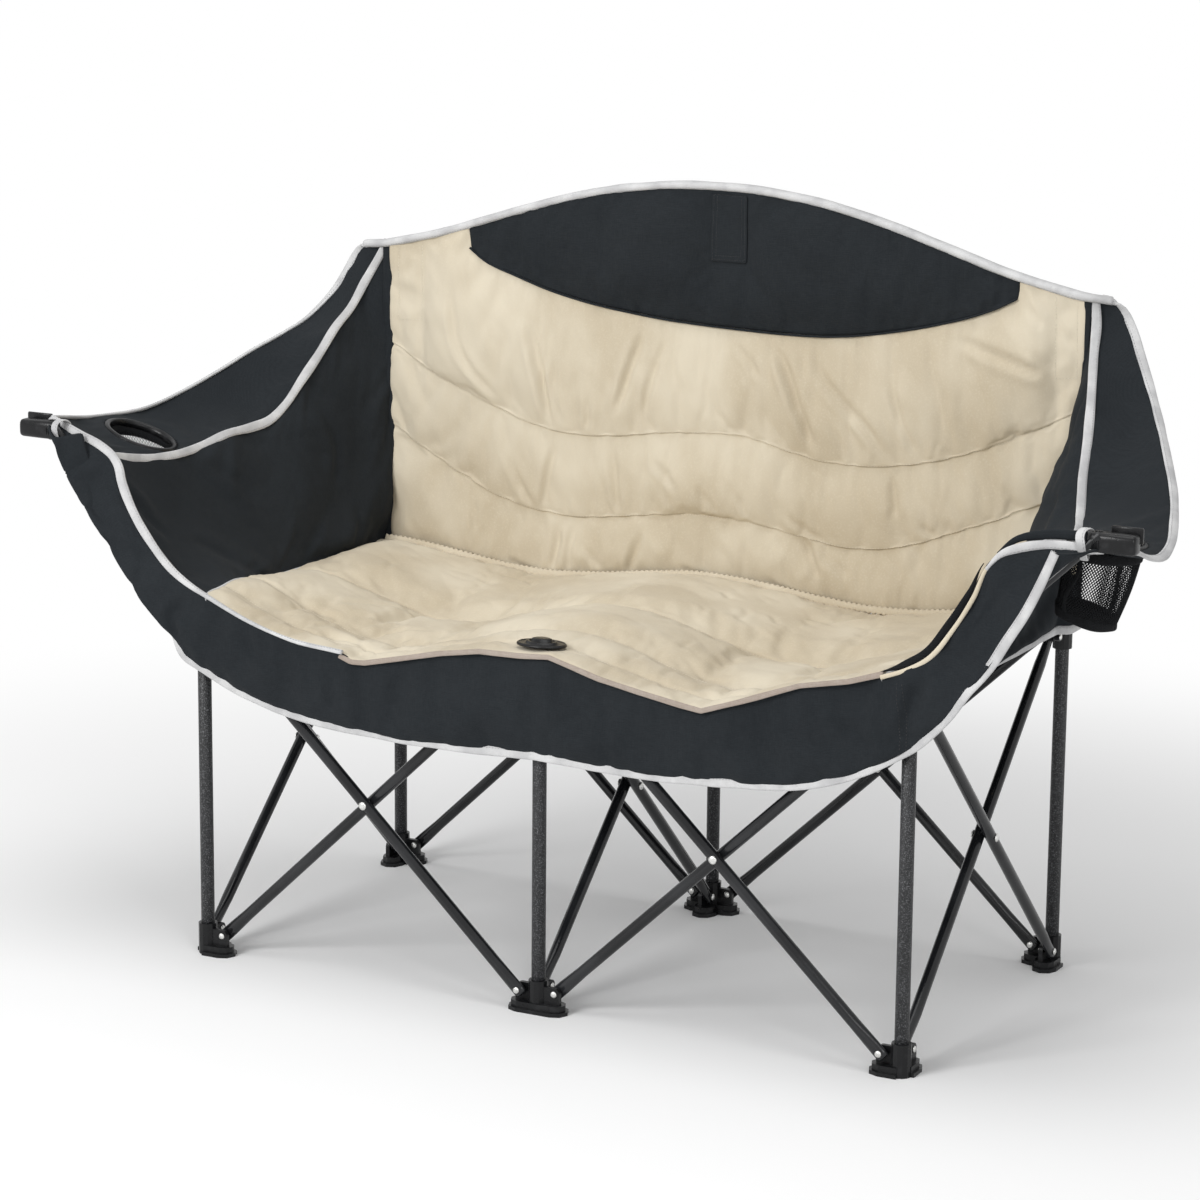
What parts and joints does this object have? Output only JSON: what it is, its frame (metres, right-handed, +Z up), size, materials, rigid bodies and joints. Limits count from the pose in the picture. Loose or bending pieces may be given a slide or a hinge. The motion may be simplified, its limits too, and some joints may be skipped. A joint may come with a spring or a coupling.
{
  "type": "folding camping loveseat",
  "caption": "Two-place folding camp chair: padded seat and back on crossing tubes that fold to a narrow bundle, with fabric arms, cup holders and a front band.",
  "frame": {"origin": "on the floor, at the middle of the chair seen from above", "axes": "+X to the sitter's left along the seat, -Y to the front, +Z up"},
  "size_m": [1.5602, 0.5512, 1],
  "materials": {
    "foot_plastic": "moulded black plastic",
    "hub_plastic": "moulded black plastic",
    "post_paint": "hammered dark grey powder coat",
    "rod_paint": "black powder coat",
    "tube_paint": "smooth black powder coat",
    "rivet_steel": "bright steel rivet",
    "cap_plastic": "semi-gloss black plastic",
    "button_plastic": "semi-gloss black plastic",
    "cream_fabric": "woven cream polyester, padded",
    "black_fabric": "woven black polyester",
    "ring_plastic": "flat black rim",
    "mesh_fabric": "black net"
  },
  "bodies": {
    "middle_rear_leg": {"foot_BC": "foot_plastic", "post_BC": "post_paint", "pocket_BC": "black_fabric", "back_pad": "cream_fabric", "back_top_panel": "black_fabric"},
    "middle_front_leg": {"foot_FC": "foot_plastic", "post_FC": "post_paint"},
    "left_rear_leg": {"foot_BL": "foot_plastic", "post_BL": "post_paint", "pocket_BL": "black_fabric"},
    "right_rear_leg": {"foot_BR": "foot_plastic", "post_BR": "post_paint", "pocket_BR": "black_fabric"},
    "left_front_leg": {"foot_FL": "foot_plastic", "post_FL": "post_paint"},
    "right_front_leg": {"foot_FR": "foot_plastic", "post_FR": "post_paint"},
    "middle_front_hub": {"hub_FC": "hub_plastic", "rod_FC": "rod_paint", "front_band": "black_fabric"},
    "middle_rear_hub": {"hub_BC": "hub_plastic"},
    "left_rear_hub": {"hub_BL": "hub_plastic"},
    "right_rear_hub": {"hub_BR": "hub_plastic"},
    "left_front_hub": {"hub_FL": "hub_plastic", "rod_FL": "rod_paint"},
    "right_front_hub": {"hub_FR": "hub_plastic", "rod_FR": "rod_paint"},
    "seat_front": {"seat_pad_front": "cream_fabric", "seat_button": "button_plastic"},
    "seat_rear": {"seat_pad_rear": "cream_fabric"},
    "left_arm": {"arm_panel_left": "black_fabric", "cup_ring_left": "ring_plastic", "cup_bag_left": "mesh_fabric"},
    "right_arm": {"arm_panel_right": "black_fabric", "cup_ring_right": "ring_plastic", "cup_bag_right": "mesh_fabric"},
    "centre_tube_a": {"tube_BC_FC": "tube_paint", "rivet_centre": "rivet_steel"},
    "centre_tube_b": {"tube_FC_BC": "tube_paint"},
    "back_left_tube_a": {"tube_BC_BL": "tube_paint", "rivet_back_left": "rivet_steel"},
    "back_left_tube_b": {"tube_BL_BC": "tube_paint"},
    "back_right_tube_a": {"tube_BC_BR": "tube_paint", "rivet_back_right": "rivet_steel"},
    "back_right_tube_b": {"tube_BR_BC": "tube_paint"},
    "front_left_tube_a": {"tube_FC_FL": "tube_paint", "rivet_front_left": "rivet_steel", "arm_cap_left": "cap_plastic"},
    "front_left_tube_b": {"tube_FL_FC": "tube_paint"},
    "front_right_tube_a": {"tube_FC_FR": "tube_paint", "rivet_front_right": "rivet_steel", "arm_cap_right": "cap_plastic"},
    "front_right_tube_b": {"tube_FR_FC": "tube_paint"},
    "side_left_tube_a": {"tube_BL_FL": "tube_paint", "rivet_side_left": "rivet_steel"},
    "side_left_tube_b": {"tube_FL_BL": "tube_paint"},
    "side_right_tube_a": {"tube_BR_FR": "tube_paint", "rivet_side_right": "rivet_steel"},
    "side_right_tube_b": {"tube_FR_BR": "tube_paint"}
  },
  "joints": [
    {"name": "fold", "type": "hinge", "parent": "middle_rear_leg", "child": "centre_tube_a", "pos_m": [0, 0.2344, 0.027], "axis": [-1, 0, 0], "range_deg": [0, 43], "deforming": ["seat_pad_front", "seat_pad_rear", "back_pad", "back_top_panel", "front_band", "arm_panel_left", "arm_panel_right", "cup_ring_left", "cup_ring_right", "cup_bag_left", "cup_bag_right"]},
    {"name": "centre_cross_pivot", "type": "hinge", "parent": "centre_tube_a", "child": "centre_tube_b", "pos_m": [0, 0.0094, 0.239], "axis": [-1, 0, 0], "range_deg": [-86, 0]},
    {"name": "centre_leg_pivot", "type": "hinge", "parent": "centre_tube_b", "child": "middle_front_leg", "pos_m": [0, -0.2156, 0.027], "axis": [-1, 0, 0], "range_deg": [0, 43]},
    {"name": "centre_hub_pivot", "type": "hinge", "parent": "centre_tube_a", "child": "middle_front_hub", "pos_m": [0, -0.2156, 0.451], "axis": [-1, 0, 0], "range_deg": [-43, 0]},
    {"name": "rear_hub_pivot", "type": "hinge", "parent": "centre_tube_b", "child": "middle_rear_hub", "pos_m": [0, 0.2344, 0.451], "axis": [-1, 0, 0], "range_deg": [0, 43]},
    {"name": "back_left_foot_pivot", "type": "hinge", "parent": "middle_rear_leg", "child": "back_left_tube_a", "pos_m": [-0.025, 0.2594, 0.027], "axis": [0, 1, 0], "range_deg": [0, 43]},
    {"name": "back_left_cross_pivot", "type": "hinge", "parent": "back_left_tube_a", "child": "back_left_tube_b", "pos_m": [-0.25, 0.2594, 0.239], "axis": [0, 1, 0], "range_deg": [-86, 0]},
    {"name": "back_left_leg_pivot", "type": "hinge", "parent": "back_left_tube_b", "child": "left_rear_leg", "pos_m": [-0.475, 0.2594, 0.027], "axis": [0, 1, 0], "range_deg": [0, 43]},
    {"name": "back_left_hub_pivot", "type": "hinge", "parent": "back_left_tube_a", "child": "left_rear_hub", "pos_m": [-0.475, 0.2594, 0.451], "axis": [0, 1, 0], "range_deg": [-43, 0]},
    {"name": "back_right_foot_pivot", "type": "hinge", "parent": "middle_rear_leg", "child": "back_right_tube_a", "pos_m": [0.025, 0.2594, 0.027], "axis": [0, -1, 0], "range_deg": [0, 43]},
    {"name": "back_right_cross_pivot", "type": "hinge", "parent": "back_right_tube_a", "child": "back_right_tube_b", "pos_m": [0.25, 0.2594, 0.239], "axis": [0, -1, 0], "range_deg": [-86, 0]},
    {"name": "back_right_leg_pivot", "type": "hinge", "parent": "back_right_tube_b", "child": "right_rear_leg", "pos_m": [0.475, 0.2594, 0.027], "axis": [0, -1, 0], "range_deg": [0, 43]},
    {"name": "back_right_hub_pivot", "type": "hinge", "parent": "back_right_tube_a", "child": "right_rear_hub", "pos_m": [0.475, 0.2594, 0.451], "axis": [0, -1, 0], "range_deg": [-43, 0]},
    {"name": "front_left_foot_pivot", "type": "hinge", "parent": "middle_front_leg", "child": "front_left_tube_a", "pos_m": [-0.025, -0.2406, 0.027], "axis": [0, 1, 0], "range_deg": [0, 43]},
    {"name": "front_left_cross_pivot", "type": "hinge", "parent": "front_left_tube_a", "child": "front_left_tube_b", "pos_m": [-0.25, -0.2406, 0.239], "axis": [0, 1, 0], "range_deg": [-86, 0]},
    {"name": "front_left_leg_pivot", "type": "hinge", "parent": "front_left_tube_b", "child": "left_front_leg", "pos_m": [-0.475, -0.2406, 0.027], "axis": [0, 1, 0], "range_deg": [0, 43]},
    {"name": "front_left_hub_pivot", "type": "hinge", "parent": "front_left_tube_a", "child": "left_front_hub", "pos_m": [-0.475, -0.2406, 0.451], "axis": [0, 1, 0], "range_deg": [-43, 0]},
    {"name": "front_right_foot_pivot", "type": "hinge", "parent": "middle_front_leg", "child": "front_right_tube_a", "pos_m": [0.025, -0.2406, 0.027], "axis": [0, -1, 0], "range_deg": [0, 43]},
    {"name": "front_right_cross_pivot", "type": "hinge", "parent": "front_right_tube_a", "child": "front_right_tube_b", "pos_m": [0.25, -0.2406, 0.239], "axis": [0, -1, 0], "range_deg": [-86, 0]},
    {"name": "front_right_leg_pivot", "type": "hinge", "parent": "front_right_tube_b", "child": "right_front_leg", "pos_m": [0.475, -0.2406, 0.027], "axis": [0, -1, 0], "range_deg": [0, 43]},
    {"name": "front_right_hub_pivot", "type": "hinge", "parent": "front_right_tube_a", "child": "right_front_hub", "pos_m": [0.475, -0.2406, 0.451], "axis": [0, -1, 0], "range_deg": [-43, 0]},
    {"name": "side_left_rear_pivot", "type": "hinge", "parent": "left_rear_leg", "child": "side_left_tube_a", "pos_m": [-0.5, 0.2344, 0.027], "axis": [-1, 0, 0], "range_deg": [0, 43]},
    {"name": "side_left_front_pivot", "type": "hinge", "parent": "left_front_leg", "child": "side_left_tube_b", "pos_m": [-0.5, -0.2156, 0.027], "axis": [1, 0, 0], "range_deg": [0, 43]},
    {"name": "side_right_rear_pivot", "type": "hinge", "parent": "right_rear_leg", "child": "side_right_tube_a", "pos_m": [0.5, 0.2344, 0.027], "axis": [-1, 0, 0], "range_deg": [0, 43]},
    {"name": "side_right_front_pivot", "type": "hinge", "parent": "right_front_leg", "child": "side_right_tube_b", "pos_m": [0.5, -0.2156, 0.027], "axis": [1, 0, 0], "range_deg": [0, 43]},
    {"name": "seat_front_fold", "type": "hinge", "parent": "middle_front_hub", "child": "seat_front", "pos_m": [0, -0.2736, 0.474], "axis": [1, 0, 0], "range_deg": [0, 80]},
    {"name": "seat_rear_fold", "type": "hinge", "parent": "middle_rear_hub", "child": "seat_rear", "pos_m": [0, 0.2434, 0.48], "axis": [-1, 0, 0], "range_deg": [0, 80]},
    {"name": "left_arm_fold", "type": "hinge", "parent": "left_rear_leg", "child": "left_arm", "pos_m": [-0.5, 0.2594, 0.85], "axis": [-1, 0, 0], "range_deg": [0, 75]},
    {"name": "right_arm_fold", "type": "hinge", "parent": "right_rear_leg", "child": "right_arm", "pos_m": [0.5, 0.2594, 0.85], "axis": [-1, 0, 0], "range_deg": [0, 75]}
  ],
  "couplings": [
    {"joint": "centre_cross_pivot", "follows": "fold", "ratio": -2},
    {"joint": "centre_leg_pivot", "follows": "fold", "ratio": 1},
    {"joint": "centre_hub_pivot", "follows": "fold", "ratio": -1},
    {"joint": "rear_hub_pivot", "follows": "fold", "ratio": 1},
    {"joint": "back_left_foot_pivot", "follows": "fold", "ratio": 1},
    {"joint": "back_left_cross_pivot", "follows": "fold", "ratio": -2},
    {"joint": "back_left_leg_pivot", "follows": "fold", "ratio": 1},
    {"joint": "back_left_hub_pivot", "follows": "fold", "ratio": -1},
    {"joint": "back_right_foot_pivot", "follows": "fold", "ratio": 1},
    {"joint": "back_right_cross_pivot", "follows": "fold", "ratio": -2},
    {"joint": "back_right_leg_pivot", "follows": "fold", "ratio": 1},
    {"joint": "back_right_hub_pivot", "follows": "fold", "ratio": -1},
    {"joint": "front_left_foot_pivot", "follows": "fold", "ratio": 1},
    {"joint": "front_left_cross_pivot", "follows": "fold", "ratio": -2},
    {"joint": "front_left_leg_pivot", "follows": "fold", "ratio": 1},
    {"joint": "front_left_hub_pivot", "follows": "fold", "ratio": -1},
    {"joint": "front_right_foot_pivot", "follows": "fold", "ratio": 1},
    {"joint": "front_right_cross_pivot", "follows": "fold", "ratio": -2},
    {"joint": "front_right_leg_pivot", "follows": "fold", "ratio": 1},
    {"joint": "front_right_hub_pivot", "follows": "fold", "ratio": -1},
    {"joint": "side_left_rear_pivot", "follows": "fold", "ratio": 1},
    {"joint": "side_left_front_pivot", "follows": "fold", "ratio": 1},
    {"joint": "side_right_rear_pivot", "follows": "fold", "ratio": 1},
    {"joint": "side_right_front_pivot", "follows": "fold", "ratio": 1},
    {"joint": "seat_front_fold", "follows": "fold", "ratio": 1.8605},
    {"joint": "seat_rear_fold", "follows": "fold", "ratio": 1.8605},
    {"joint": "left_arm_fold", "follows": "fold", "ratio": 1.7442},
    {"joint": "right_arm_fold", "follows": "fold", "ratio": 1.7442}
  ]
}
